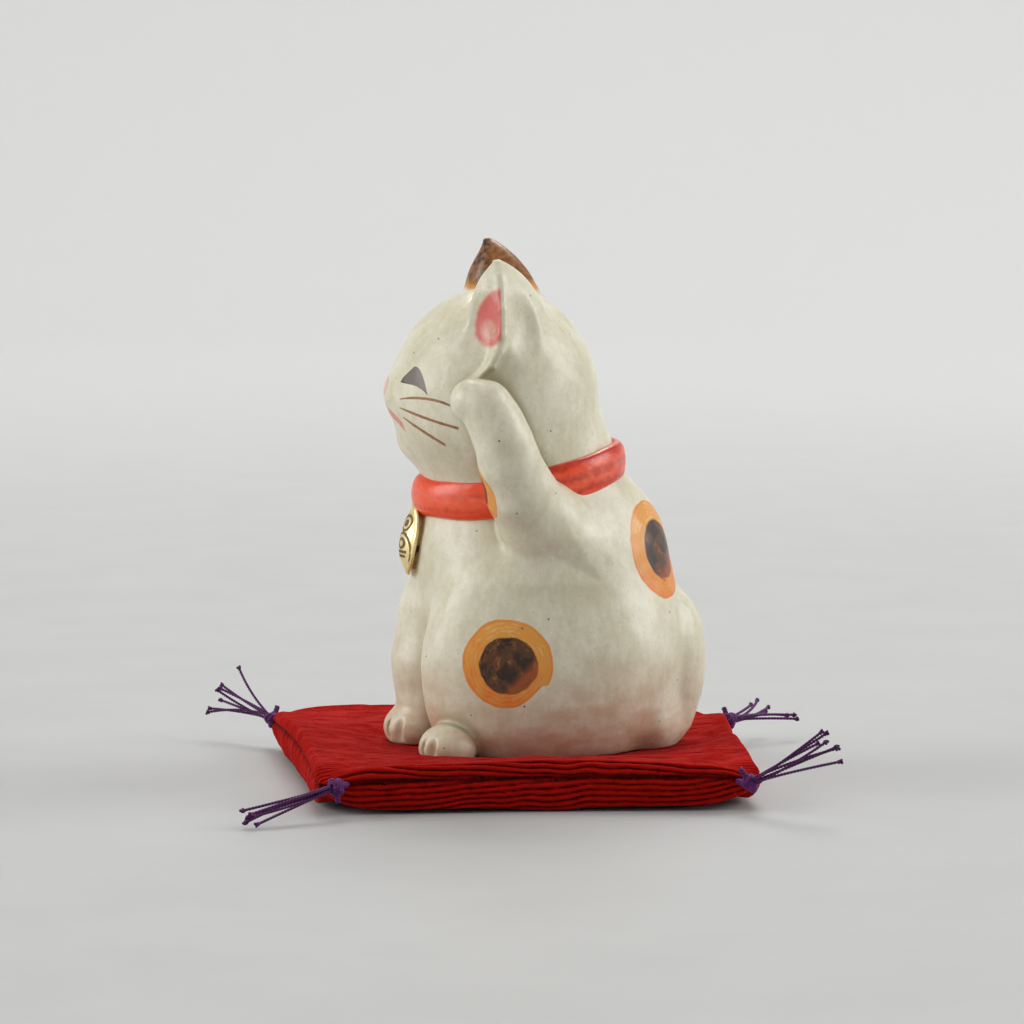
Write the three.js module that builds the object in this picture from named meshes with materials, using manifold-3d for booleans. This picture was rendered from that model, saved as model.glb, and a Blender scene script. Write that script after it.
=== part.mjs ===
// Beckoning cat figurine: a hollow cat of glazed earthenware, put together from separately formed clay
// pieces, that sits loose on a square crepe cushion with a corded tassel at each corner.
// Millimetres, +Z up. The origin is the middle of the cushion's flat underside, on the table.
// The cat faces -Y and raises its left arm, which is on the +X side.
import * as THREE from "three";
import { mergeVertices } from "three/addons/utils/BufferGeometryUtils.js";
import Module from "manifold-3d";

const wasm = await Module();
wasm.setup();

// ---------------------------------------------------------------- driving dimensions

const GAP = 0.3; // clearance between neighbouring pieces
const SEAT = 7.6; // height of the cat's flat foot above the table
const CLAY = 3.6; // thickness of the clay wall
const VENT_RADIUS = 4.5; // firing vent in the cat's foot
const HEAD_CENTRE = [0, -5.5, 79.3];
const HEAD_ROLL = 4.5; // degrees that the head leans towards the raised arm
const NECK_HEIGHT = 62; // middle of the collar, where the head is luted to the trunk
const NECK_SLOPE = 0.15; // rise of the neck joint per millimetre towards the back
const NECK_SAG = 3.2; // how far the collar hangs lower at its sides
const SAG_TURN = 22; // degrees in front of the sides where it hangs lowest
const COLLAR_HEIGHT = 7.6;
const COLLAR_PROUD = 2.2; // how far the collar stands out of the neck

const CUSHION = { seam: 6.2, top: 10.6, cloth: 0.7, corner: 12, rim: 4 }; // corner and rim: roundness powers
const CORNERS = {
  front_left: [46.5, -41],
  back_left: [47.6, 41.6],
  front_right: [-47.8, -50],
  back_right: [-38.5, 48.3],
}; // x and y of the hand-cut cloth's corners, not quite square
const DENT = { x: 28, y: 31, middleY: 1.5 }; // hollow under the cat

const KNOT = { ring: 1.45, cord: 0.72, out: 2.7 }; // out is from the cushion's tip to the knot's middle
const STRAND = { radius: 0.3, length: 21.5, spacing: 0.95, count: 7 };

// ---------------------------------------------------------------- implicit shapes

const vector = ([x, y, z]) => new THREE.Vector3(x, y, z);
const radians = THREE.MathUtils.degToRad;

// Distance to an ellipsoid, negative inside.
function ellipsoid(centre, [a, b, c]) {
  const middle = vector(centre);
  return (point) => {
    const q = point.clone().sub(middle);
    const level = Math.hypot(q.x / a, q.y / b, q.z / c);
    const steepness = Math.hypot(q.x / a ** 2, q.y / b ** 2, q.z / c ** 2);
    return steepness === 0 ? -Math.min(a, b, c) : (level * (level - 1)) / steepness;
  };
}

const mirrored = ([x, y, z]) => [-x, y, z];

// Joins shapes with a fillet about as wide as the radius.
function blend(radius, ...shapes) {
  return (point) =>
    shapes.map((shape) => shape(point)).reduce((a, b) => {
      const near = Math.max(radius - Math.abs(a - b), 0) / radius;
      return Math.min(a, b) - (near ** 3 * radius) / 6;
    });
}

const grown = (shape, by) => (point) => shape(point) - by;

// A shape turned about the head's centre, as the head is.
function rolled(shape) {
  const centre = vector(HEAD_CENTRE);
  const back = new THREE.Matrix4().makeRotationY(-radians(HEAD_ROLL));
  return (point) => shape(point.clone().sub(centre).applyMatrix4(back).add(centre));
}

// ---------------------------------------------------------------- solids

// A closed geometry as a solid for cutting and joining.
function solid(geometry) {
  const bare = geometry.clone();
  bare.deleteAttribute("normal");
  bare.deleteAttribute("uv");
  const welded = mergeVertices(bare, 1e-3);
  return new wasm.Manifold(
    new wasm.Mesh({
      numProp: 3,
      vertProperties: welded.getAttribute("position").array,
      triVerts: new Uint32Array(welded.index.array),
    }),
  );
}

function geometryOf(body) {
  const mesh = body.getMesh();
  const geometry = new THREE.BufferGeometry();
  geometry.setAttribute("position", new THREE.BufferAttribute(mesh.vertProperties, 3));
  geometry.setIndex(new THREE.BufferAttribute(mesh.triVerts, 1));
  geometry.computeVertexNormals();
  return geometry;
}

// Moves every vertex of a geometry to the place that the function gives for it.
function reshape(geometry, place) {
  const position = geometry.getAttribute("position");
  const point = new THREE.Vector3();
  for (let i = 0; i < position.count; i++) {
    point.fromBufferAttribute(position, i);
    const moved = place(point, i);
    position.setXYZ(i, moved.x, moved.y, moved.z);
  }
  return geometry;
}

// A sphere's grid pushed out from the centre until it lies on the implicit shape.
function wrap(shape, centre, around, down) {
  const reach = 90;
  const halvings = 24;
  const heart = vector(centre);
  const sphere = new THREE.SphereGeometry(1, around, down).rotateX(Math.PI / 2);
  return reshape(sphere, (direction) => {
    let inside = 0;
    let outside = reach;
    for (let i = 0; i < halvings; i++) {
      const middle = (inside + outside) / 2;
      const probe = heart.clone().addScaledVector(direction, middle);
      if (shape(probe) < 0) inside = middle;
      else outside = middle;
    }
    return heart.clone().addScaledVector(direction, inside);
  });
}

// A round limb along a smooth curve through [x, y, z, radius] stations, with rounded ends.
function limb(stations, sides, steps, growth = 0) {
  const capSteps = 3;
  const curve = new THREE.CatmullRomCurve3(stations.map(vector));
  const frames = curve.computeFrenetFrames(steps);
  const radiusAt = (share) => {
    const along = curve.getUtoTmapping(share) * (stations.length - 1);
    const i = Math.min(Math.floor(along), stations.length - 2);
    return THREE.MathUtils.lerp(stations[i][3], stations[i + 1][3], along - i) + growth;
  };
  const sphere = new THREE.SphereGeometry(1, sides, steps + 2 * capSteps);
  return reshape(sphere, (_, index) => {
    const row = Math.floor(index / (sides + 1));
    const turn = ((index % (sides + 1)) / sides) * 2 * Math.PI;
    const ring = THREE.MathUtils.clamp(row - capSteps, 0, steps);
    const radius = radiusAt(ring / steps);
    const slant = ((row - capSteps - ring) / capSteps) * (Math.PI / 2);
    return curve
      .getPointAt(ring / steps)
      .addScaledVector(frames.tangents[ring], radius * Math.sin(slant))
      .addScaledVector(frames.normals[ring], radius * Math.cos(slant) * Math.cos(turn))
      .addScaledVector(frames.binormals[ring], -radius * Math.cos(slant) * Math.sin(turn));
  });
}

// A block between two opposite corners, given in either order.
function box(corner, opposite) {
  const span = new THREE.Box3().setFromPoints([vector(corner), vector(opposite)]);
  const size = span.getSize(new THREE.Vector3());
  return new THREE.BoxGeometry(...size.toArray()).translate(...span.getCenter(new THREE.Vector3()).toArray());
}

// Everything on one side of the neck joint: above it for side 1, below it for side -1.
function neckHalf(side) {
  const far = 100;
  const slab = new THREE.BoxGeometry(2 * far, 2 * far, far);
  slab.translate(0, 0, side * (far / 2 + GAP / 2));
  slab.rotateX(Math.atan(NECK_SLOPE));
  return solid(slab.translate(0, 0, NECK_HEIGHT));
}

const belowFoot = solid(box([-100, -100, -100], [100, 100, SEAT]));

// ---------------------------------------------------------------- the cat's forms

const HAUNCH = { at: [13.5, 1, 21], size: [13.5, 20, 17] };
const HIND_PAW = { at: [21.2, -16.8, 9.9], size: [6, 5.8, 4.9] };

const neckForm = ellipsoid([0, -0.8, 66], [18.6, 19.6, 17]);
const trunkForm = blend(
  7,
  ellipsoid([0, 8.5, 26], [25, 26, 26]),
  ellipsoid([0, 3.8, 46], [20.5, 26, 22]),
  ellipsoid(HAUNCH.at, HAUNCH.size),
  ellipsoid(mirrored(HAUNCH.at), HAUNCH.size),
  ellipsoid([13.5, 9, 49], [10.5, 13, 11]),
  neckForm,
);
const headForm = blend(
  5,
  rolled(ellipsoid(HEAD_CENTRE, [23, 21, 21.7])),
  rolled(ellipsoid([0, -20.6, 79], [9.5, 7, 6])),
  neckForm,
);

const TRUNK_CENTRE = [0, 5, 34];
const trunkOuter = (growth) => solid(wrap(grown(trunkForm, growth), TRUNK_CENTRE, 30, 20));
const headOuter = (growth) => solid(wrap(grown(headForm, growth), HEAD_CENTRE, 28, 18));
const trunkGrown = trunkOuter(GAP);
const headGrown = headOuter(GAP);

function trunk() {
  const cavity = solid(wrap(grown(trunkForm, -CLAY), TRUNK_CENTRE, 18, 12));
  const vent = new THREE.CylinderGeometry(VENT_RADIUS, VENT_RADIUS, 4 * CLAY, 20);
  vent.rotateX(Math.PI / 2).translate(0, 6, SEAT);
  const floorOfCavity = solid(box([-100, -100, -100], [100, 100, SEAT + CLAY]));
  return trunkOuter(0)
    .subtract(cavity.subtract(floorOfCavity))
    .subtract(belowFoot)
    .subtract(solid(vent))
    .intersect(neckHalf(-1));
}

function head() {
  const cavity = solid(wrap(grown(headForm, -CLAY), HEAD_CENTRE, 18, 12));
  return headOuter(0).subtract(cavity).intersect(neckHalf(1));
}

// A pricked ear: a flattened cone with convex sides, scooped out in front.
function ear(tip, base) {
  const height = tip.distanceTo(base);
  const side = Math.sign(tip.x);
  const profile = [
    [0, 0],
    [12, 0],
    [11.4, 0.28],
    [8.8, 0.56],
    [4.8, 0.82],
    [1.9, 0.96],
    [0, 1],
  ].map(([radius, share]) => new THREE.Vector2(radius, share * height));
  const toTip = new THREE.Quaternion().setFromUnitVectors(
    new THREE.Vector3(0, 1, 0),
    tip.clone().sub(base).normalize(),
  );
  const cone = new THREE.LatheGeometry(profile, 20).rotateY(Math.PI / 20);
  cone.scale(1, 1, 0.82).applyQuaternion(toTip).translate(base.x, base.y, base.z);
  const scoop = new THREE.SphereGeometry(1, 18, 12).scale(6, 8.5, 10.5);
  scoop.translate(tip.x + side * 0.2, tip.y - 8.4, tip.z - 13.5);
  return solid(cone).subtract(solid(scoop)).subtract(headGrown);
}

// ---------------------------------------------------------------- collar and coin

// The band round the neck: a flattened torus that follows the neck's outline and hangs lower at its sides.
function collar(growth = 0) {
  const [around, across] = [40, 8];
  const torus = new THREE.TorusGeometry(1, 0.5, across, around);
  const band = reshape(torus, (_, index) => {
    const turn = ((index % (around + 1)) / around) * 2 * Math.PI;
    const lap = (Math.floor(index / (around + 1)) / across) * 2 * Math.PI;
    const outwards = new THREE.Vector3(Math.cos(turn), Math.sin(turn), 0);
    const fromSide = Math.atan2(outwards.y, Math.abs(outwards.x)) + radians(SAG_TURN);
    const middle = outwards.clone().multiplyScalar(1 / Math.hypot(outwards.x / 18.8, outwards.y / 20));
    middle.y -= 0.7;
    middle.z = NECK_HEIGHT + middle.y * NECK_SLOPE - NECK_SAG * Math.cos(fromSide) ** 4;
    middle.addScaledVector(outwards, (COLLAR_PROUD + growth) * Math.cos(lap));
    middle.z += (COLLAR_HEIGHT / 2 + growth) * Math.sin(lap);
    return middle;
  });
  return solid(band);
}

const neckGrown = trunkGrown.add(headGrown);
const collarBand = collar().subtract(neckGrown);
const collarGrown = collar(GAP);

// ---------------------------------------------------------------- limbs

const ARM = [
  [12, 9, 46, 8],
  [19, 3, 55, 7.6],
  [24.4, -2.2, 62, 6.2],
  [26.9, -5.9, 71, 5.3],
  [26.3, -9.2, 78, 4.9],
  [25.3, -12, 80, 4.5],
];
const FORELEG = [
  [-4.5, -13.5, 44, 8.3],
  [-4.5, -15.8, 34, 8.7],
  [-4, -17.4, 24, 8.4],
  [-3.4, -18.2, 14.5, 7.5],
];
const FOREPAW = { at: [-3, -21, 11], size: [7.2, 7.3, 5] };
const TAIL = { at: [1.5, 32.2, 25], size: [6.6, 5.5, 13.6] };

const ball = ({ at, size }, growth, around, down) =>
  solid(
    new THREE.SphereGeometry(1, around, down)
      .rotateX(Math.PI / 2)
      .scale(size[0] + growth, size[1] + growth, size[2] + growth)
      .translate(...at),
  );

const forelegForm = (growth) =>
  solid(limb(FORELEG, 16, 6, growth)).add(ball(FOREPAW, growth, 16, 10));

const raisedArm = () =>
  solid(limb(ARM, 16, 12)).subtract(trunkGrown).subtract(headGrown).subtract(collarGrown);
const foreleg = () => forelegForm(0).subtract(trunkGrown).subtract(belowFoot);
const hindPaw = (at) =>
  ball({ at, size: HIND_PAW.size }, 0, 14, 8)
    .subtract(trunkGrown)
    .subtract(belowFoot)
    .subtract(forelegForm(GAP));
const tail = () => ball(TAIL, 0, 14, 12).subtract(trunkGrown);

// The domed oval coin that hangs from the collar onto the chest.
function koban() {
  const dome = new THREE.SphereGeometry(1, 24, 14).rotateX(Math.PI / 2).scale(5.6, 4.6, 7.7);
  return solid(dome.translate(0, -20.5, 50))
    .subtract(trunkGrown)
    .subtract(collarGrown)
    .subtract(forelegForm(GAP));
}

// ---------------------------------------------------------------- cushion

// The place on the cushion's uneven square for u and v from -1 to 1.
function onSquare(u, v) {
  const { front_left, back_left, front_right, back_right } = CORNERS;
  const front = [0, 1].map((i) => THREE.MathUtils.lerp(front_right[i], front_left[i], (u + 1) / 2));
  const back = [0, 1].map((i) => THREE.MathUtils.lerp(back_right[i], back_left[i], (u + 1) / 2));
  return [0, 1].map((i) => THREE.MathUtils.lerp(front[i], back[i], (v + 1) / 2));
}

// A pillow, square in plan with rounded corners, its skin drawn in by the inset, flat underneath.
function pillow(inset, detail) {
  const { seam, top, corner, rim } = CUSHION;
  const sunk = 0.5; // how far the round underside would reach below the table if it were not flat
  const drawnIn = 1 - inset / Math.abs(CORNERS.back_left[0]);
  const net = new THREE.BoxGeometry(2, 2, 2, detail, detail, 4);
  const skin = reshape(net, (point) => {
    const plan = (Math.abs(point.x) ** corner + Math.abs(point.y) ** corner) ** (1 / corner);
    const level = (plan ** rim + Math.abs(point.z) ** rim) ** (1 / rim);
    const height = point.z > 0 ? top - seam - inset : seam + sunk - inset;
    const [x, y] = onSquare(point.x / level, point.y / level).map((span) => span * drawnIn);
    return point.set(x, y, seam + (point.z / level) * height);
  });
  const table = box([-100, -100, inset], [100, 100, 100]);
  return solid(skin).intersect(solid(table)).subtract(dent(inset));
}

// The hollow that the cat has pressed into the pillow, deepened by the inset.
function dent(inset) {
  const floor = SEAT - GAP - inset;
  const profile = [
    [0, floor],
    [1, floor],
    [1.07, floor + 0.7],
    [1.25, floor + 2.6],
    [1.5, 30],
    [0, 30],
  ].map(([radius, height]) => new THREE.Vector2(radius, height));
  const bowl = new THREE.LatheGeometry(profile, 28).rotateX(Math.PI / 2);
  const squared = reshape(bowl, (point) => {
    const radius = Math.hypot(point.x, point.y);
    const spread = radius === 0 ? 0 : radius / (point.x ** 4 + point.y ** 4) ** 0.25;
    return point.multiply(new THREE.Vector3(spread, spread, 1));
  });
  return solid(squared.scale(DENT.x + inset, DENT.y + inset, 1).translate(0, DENT.middleY, 0));
}

// One panel of the cover: the part of the pillow's cloth above the seam for side 1, below it for side -1.
function cover(side) {
  const level = CUSHION.seam + (side * GAP) / 2;
  const half = box([-100, -100, level], [100, 100, side * 100]);
  return pillow(0, 14).subtract(pillow(CUSHION.cloth, 10)).intersect(solid(half));
}

const filling = () => pillow(CUSHION.cloth + GAP, 10);

// ---------------------------------------------------------------- tassels

// Which way each tassel's strands point from the knot, and how far they fan out across and up, in degrees.
const TASSELS = {
  front_left: { heading: -62, lift: -12, fan: [12, 1.5] },
  back_left: { heading: 56, lift: 27, fan: [12, 7] },
  front_right: { heading: -135, lift: 18, fan: [17, 11] },
  back_right: { heading: 112, lift: 1, fan: [12, 4] },
};

// Where a corner's knot lies: just outside the rounded tip of the cushion, at the height of the seam.
function knotPlace(corner) {
  const tip = new THREE.Vector3(...CORNERS[corner], 0).multiplyScalar(2 ** (-1 / CUSHION.corner));
  return tip.setLength(tip.length() + KNOT.out).setZ(CUSHION.seam - 0.2);
}

// Unit vectors along a tassel and across it, level and upright.
function tasselFrame({ heading, lift }) {
  const [turn, rise] = [radians(heading), radians(lift)];
  const along = new THREE.Vector3(
    Math.cos(turn) * Math.cos(rise),
    Math.sin(turn) * Math.cos(rise),
    Math.sin(rise),
  );
  const level = new THREE.Vector3(-Math.sin(turn), Math.cos(turn), 0);
  return { along, level, upright: along.clone().cross(level) };
}

function knot(corner) {
  const { along } = tasselFrame(TASSELS[corner]);
  const { x, y, z } = knotPlace(corner);
  const tied = new THREE.TorusKnotGeometry(KNOT.ring, KNOT.cord, 30, 6, 2, 3);
  const facing = new THREE.Quaternion().setFromUnitVectors(new THREE.Vector3(0, 0, 1), along);
  return tied.applyQuaternion(facing).translate(x, y, z);
}

// One strand of a tassel: it leaves the knot in a close bundle and fans out with its neighbours.
function strand(corner, number) {
  const tassel = TASSELS[corner];
  const { along, level, upright } = tasselFrame(tassel);
  const turn = (number / (STRAND.count - 1)) * 2 * Math.PI;
  const length = STRAND.length * (1 - 0.06 * (number % 3));
  const start = 1.5 * KNOT.ring + KNOT.cord + GAP;
  const [wide, high] = tassel.fan.map((degrees) => Math.tan(radians(degrees)) * length);
  const outer = Math.sign(number); // strand 0 runs straight out of the middle of the bundle
  const place = (share) =>
    knotPlace(corner)
      .addScaledVector(along, start + (length - start) * share)
      .addScaledVector(level, outer * Math.cos(turn) * (STRAND.spacing + wide * share ** 1.6))
      .addScaledVector(upright, outer * Math.sin(turn) * (STRAND.spacing + high * share ** 1.6));
  const path = new THREE.CatmullRomCurve3([0, 0.35, 0.7, 1].map(place));
  const section = new THREE.Shape().absarc(0, 0, STRAND.radius, 0, 2 * Math.PI);
  return new THREE.ExtrudeGeometry(section, {
    steps: 5,
    curveSegments: 3,
    bevelEnabled: false,
    extrudePath: path,
  });
}

// ---------------------------------------------------------------- assembly

const finish = (color, roughness, metalness = 0) =>
  new THREE.MeshStandardMaterial({ color, roughness, metalness });
const glazedClay = finish(0xdedac6, 0.4);
const brownGlaze = finish(0x7a4f2a, 0.4);
const redGlaze = finish(0xd8432a, 0.35);
const gilt = finish(0xd9b860, 0.3, 1);
const crepe = finish(0xa3150f, 0.85);
const wadding = finish(0xeae6dc, 0.95);
const purpleCord = finish(0x4a1a66, 0.8);

const figurine = new THREE.Group();
const cushion = new THREE.Group();

function add(group, name, shape, material) {
  const geometry = shape.isBufferGeometry ? shape : geometryOf(shape);
  const mesh = new THREE.Mesh(geometry, material);
  mesh.name = name;
  group.add(mesh);
}

add(figurine, "trunk_shell", trunk(), glazedClay);
add(figurine, "head_shell", head(), glazedClay);
add(figurine, "left_ear", ear(vector([16.5, -6.3, 107]), vector([10.5, -2.5, 83])), glazedClay);
add(figurine, "right_ear", ear(vector([-13.5, -5.7, 110]), vector([-10, -2.5, 86])), brownGlaze);
add(figurine, "raised_left_arm", raisedArm(), glazedClay);
add(figurine, "right_foreleg", foreleg(), glazedClay);
add(figurine, "left_hind_paw", hindPaw(HIND_PAW.at), glazedClay);
add(figurine, "right_hind_paw", hindPaw(mirrored(HIND_PAW.at)), glazedClay);
add(figurine, "tail", tail(), glazedClay);
add(figurine, "collar_band", collarBand, redGlaze);
add(figurine, "koban_medallion", koban(), gilt);

add(cushion, "cushion_top_cover", cover(1), crepe);
add(cushion, "cushion_bottom_cover", cover(-1), crepe);
add(cushion, "cushion_filling", filling(), wadding);

for (const corner of Object.keys(TASSELS)) {
  add(cushion, `${corner}_tassel_knot`, knot(corner), purpleCord);
  for (let number = 0; number < STRAND.count; number++) {
    add(cushion, `${corner}_strand_${number + 1}`, strand(corner, number), purpleCord);
  }
}

const group = new THREE.Group();
group.add(cushion, figurine);

export default group;
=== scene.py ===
# Beckoning cat figurine on a tasselled crepe cushion: its looks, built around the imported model.
# The cat faces -Y, its raised left arm is on the +X side, and the cushion lies on the table at z = 0.
import math

import bpy
import numpy as np
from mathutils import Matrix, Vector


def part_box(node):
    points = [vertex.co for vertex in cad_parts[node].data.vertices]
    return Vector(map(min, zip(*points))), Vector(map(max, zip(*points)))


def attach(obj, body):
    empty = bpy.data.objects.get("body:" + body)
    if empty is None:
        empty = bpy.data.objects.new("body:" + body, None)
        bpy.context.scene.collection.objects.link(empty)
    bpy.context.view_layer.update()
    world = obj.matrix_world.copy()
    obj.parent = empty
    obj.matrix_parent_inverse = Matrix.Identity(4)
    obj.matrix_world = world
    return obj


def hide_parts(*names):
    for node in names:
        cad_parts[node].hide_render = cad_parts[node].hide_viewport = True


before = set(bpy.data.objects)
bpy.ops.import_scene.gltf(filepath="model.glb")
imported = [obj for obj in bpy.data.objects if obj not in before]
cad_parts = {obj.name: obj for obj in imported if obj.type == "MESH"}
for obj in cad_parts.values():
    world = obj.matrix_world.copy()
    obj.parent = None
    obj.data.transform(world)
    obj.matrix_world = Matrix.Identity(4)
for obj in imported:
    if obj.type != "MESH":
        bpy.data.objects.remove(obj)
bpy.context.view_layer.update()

import openvdb
from mathutils import Vector, noise

MM = 0.001

# ---------------------------------------------------------------- places, in millimetres, from the model


def box(node):
    low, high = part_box(node)
    return np.array(low) / MM, np.array(high) / MM


def middle(node):
    low, high = box(node)
    return (low + high) / 2


def box_of(*nodes):
    boxes = [box(node) for node in nodes]
    return np.min([low for low, _ in boxes], axis=0), np.max([high for _, high in boxes], axis=0)


CORNERS = ("front_left", "back_left", "front_right", "back_right")
FIGURE_NODES = (
    "trunk_shell",
    "head_shell",
    "left_ear",
    "right_ear",
    "raised_left_arm",
    "right_foreleg",
    "left_hind_paw",
    "right_hind_paw",
    "tail",
)
SEAT = box("trunk_shell")[0][2]
HEAD = np.array([0.0, -5.5, box("head_shell")[1][2] - 21.7])  # middle of the skull
HEAD_ROLL = math.radians(4.5)

# ---------------------------------------------------------------- distance fields, in millimetres


def ellipsoid(points, centre, radii):
    q = points - np.asarray(centre, np.float32)
    level = np.sqrt(((q / radii) ** 2).sum(axis=-1)) + 1e-6
    slope = np.sqrt(((q / np.square(radii)) ** 2).sum(axis=-1)) + 1e-6
    return level * (level - 1) / slope


def segment(points, a, b, radius_a, radius_b):
    a, b = np.asarray(a, np.float32), np.asarray(b, np.float32)
    along = b - a
    share = np.clip((points - a) @ along / along.dot(along), 0, 1)
    nearest = a + share[..., None] * along
    return np.linalg.norm(points - nearest, axis=-1) - (radius_a + share * (radius_b - radius_a))


def join(a, b, fillet):
    near = np.maximum(fillet - np.abs(a - b), 0) / fillet
    return np.minimum(a, b) - near**3 * fillet / 6


def carve(shape, tool, fillet):
    return -join(-shape, tool, fillet)


def limb(points, stations, fillet):
    total = None
    for a, b in zip(stations, stations[1:]):
        link = segment(points, a[:3], b[:3], a[3], b[3])
        total = link if total is None else join(total, link, fillet)
    return total


def rolled(points):
    """Points in the head's own upright frame."""
    c, s = math.cos(HEAD_ROLL), math.sin(HEAD_ROLL)
    q = points - HEAD.astype(np.float32)
    x = c * q[..., 0] - s * q[..., 2]
    z = s * q[..., 0] + c * q[..., 2]
    return np.stack([x, q[..., 1], z], axis=-1) + HEAD.astype(np.float32)


ARM = (
    (25.2, -12.1, 79.9, 4.4),
    (26.3, -9.4, 79.0, 4.8),
    (26.9, -7.5, 75.3, 5.3),
    (27.0, -5.9, 71.5, 5.5),
    (26.3, -4.6, 67.0, 5.9),
    (24.0, -2.4, 61.5, 6.8),
    (19.0, 1.8, 55.0, 7.8),
    (12.5, 7.0, 48.0, 9.0),
)
FORELEG = (
    (-4.5, -13.0, 44.0, 8.2),
    (-4.5, -15.3, 34.0, 8.6),
    (-4.0, -17.2, 24.0, 8.4),
    (-3.4, -18.0, 14.5, 7.4),
)
# the crisp outer rim of the left ear, from its tip down on to the cheek, ending at the raised paw
EAR_RIM = (
    (17.0, -6.5, 106.2, 0.5),
    (19.4, -6.2, 104.0, 0.6),
    (20.9, -6.1, 101.4, 0.75),
    (22.8, -5.9, 97.7, 0.8),
    (23.5, -6.0, 92.8, 0.85),
    (23.2, -6.6, 89.8, 0.9),
    (22.6, -8.0, 86.8, 0.9),
    (21.9, -10.0, 84.3, 0.8),
    (20.8, -12.4, 82.6, 0.6),
)
# the shallow crease just behind that rim
EAR_CREASE = (
    (22.6, -3.2, 101.6, 0.9),
    (23.8, -2.8, 96.5, 2.0),
    (24.6, -2.7, 91.5, 2.3),
    (24.9, -3.4, 87.5, 2.4),
    (25.0, -5.8, 83.6, 2.0),
)


def ear(points, tip, foot, side, sharpness):
    """A pricked ear: a convex cone, scooped in front and behind, so that its outer rim stands proud."""
    tip, foot = np.array(tip, np.float32), np.array(foot, np.float32)
    up = (tip - foot) / np.linalg.norm(tip - foot)
    across = np.array([1, 0, 0], np.float32)
    across = across - up * across.dot(up)
    across /= np.linalg.norm(across)
    back = np.cross(up, across)
    q = points - tip
    depth = -(q @ up)
    spread = 1 - np.exp(-np.maximum(depth, 0) / 6.5)
    spread = spread * np.sqrt(np.clip(1 - (np.maximum(depth - 12, 0) / 15) ** 2, 0.01, 1))
    wide = 0.9 + 7.8 * spread
    ahead = q @ back
    deep = np.where(ahead < 0, 0.9 + 8.6 * spread**sharpness, 0.9 + 8.6 * spread)
    sideways = q @ across + side * 0.55 * np.maximum(ahead, 0)
    level = np.sqrt((sideways / wide) ** 2 + (ahead / deep) ** 2)
    cone = (level - 1) * np.minimum(wide, deep) * 0.8
    cone = np.maximum(cone, -depth - 0.3)
    scoop = ellipsoid(points, tip + np.array([side * 8.3, -9.4, -12], np.float32), (9.6, 9.2, 15.5))
    hollow = ellipsoid(points, tip + np.array([side * 9.0, 7.9, -11], np.float32), (8, 6.6, 15))
    return carve(carve(cone, scoop, 0.5), hollow, 1.6)


def paw(points, centre, radii, groove):
    """A round paw with four short grooves between its toes."""
    shape = ellipsoid(points, centre, radii)
    for share in (-1, -0.45, 0.45, 1):
        slide = share * groove
        front = radii[1] * math.sqrt(max(1 - (slide / radii[0]) ** 2, 0))
        place = (centre[0] + slide, centre[1] - front, centre[2] + 0.3)
        shape = carve(shape, ellipsoid(points, place, (0.6, 1.5, radii[2] * 0.66)), 0.8)
    return shape


def arm_fillet(points):
    """The raised arm keeps a soft edge along its front, and runs into the shoulder behind."""
    y, z = points[..., 1], points[..., 2]
    edge = -9.5 + 0.65 * (61.4 - z)
    behind = np.clip((y - edge - 3) / 9, 0, 1)
    low = np.clip((51 - z) / 8, 0, 1)
    shoulder = np.clip((66 - z) / 14, 0, 1)
    return 1.8 + 13 * np.maximum(shoulder * behind, low)


def body(points):
    """Distance to the glazed figure, without its raised arm, collar and coin."""
    trunk = ellipsoid(points, (0, 8.5, 26), (25, 26, 26))
    trunk = join(trunk, ellipsoid(points, (0, 3.8, 46), (20.5, 26, 22)), 10)
    for side in (-1, 1):
        trunk = join(trunk, ellipsoid(points, (side * 13.5, 0.5, 25), (13.2, 22, 24)), 9)
        trunk = join(trunk, ellipsoid(points, (side * 12.5, 2.5, 17), (12.6, 22, 13.5)), 5)
    trunk = join(trunk, ellipsoid(points, (0, -0.8, 66), (18.6, 19.5, 17)), 7)
    foreleg = limb(points, FORELEG, 6)
    foreleg = join(foreleg, paw(points, (-3, -21, 10.6), (7.2, 7.2, 5.2), 5.4), 2.2)
    figure = join(trunk, foreleg, 4)
    for side in (-1, 1):
        figure = join(figure, paw(points, (side * 21.4, -16.8, 9.8), (6.0, 5.8, 4.9), 4.4), 1.8)
    figure = join(figure, ellipsoid(points, (1.5, 25.0, 13), (14, 7.8, 9)), 5)
    tail_fillet = 2.5 + 6 * np.clip((18 - points[..., 2]) / 7, 0, 1)
    figure = join(figure, ellipsoid(points, (1.5, 31.2, 24.6), (9.5, 6.4, 14.4)), tail_fillet)

    upright = rolled(points)
    skull = ellipsoid(upright, HEAD, (23, 21, 21.7))
    skull = join(skull, ellipsoid(upright, (0, -20.8, 79.6), (9.5, 7.2, 5.6)), 5)
    skull = join(skull, ellipsoid(upright, (0, -19.0, 70.2), (7.5, 6.0, 4.6)), 4)
    figure = join(figure, skull, 5)
    figure = join(figure, ear(points, (16.6, -6.4, 107.0), (14.3, -2.6, 86), 1, 1.0), 3)
    figure = join(figure, ear(points, (-13.6, -5.9, 109.9), (-12.0, -2.4, 89), -1, 1.5), 5)
    figure = carve(figure, limb(points, EAR_CREASE, 2.0), 3.0)
    root = points + np.array([1.3, 0, 0], np.float32)
    figure = join(figure, limb(root, EAR_RIM, 0.8), 1.5)
    return join(figure, limb(points, EAR_RIM, 0.8), 1.5)


def cat(points):
    """Distance to the whole glazed figure, flat underneath."""
    figure = join(body(points), limb(points, ARM, 2.5), arm_fillet(points))
    return np.maximum(figure, SEAT - points[..., 2])


# ---------------------------------------------------------------- meshes


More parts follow.
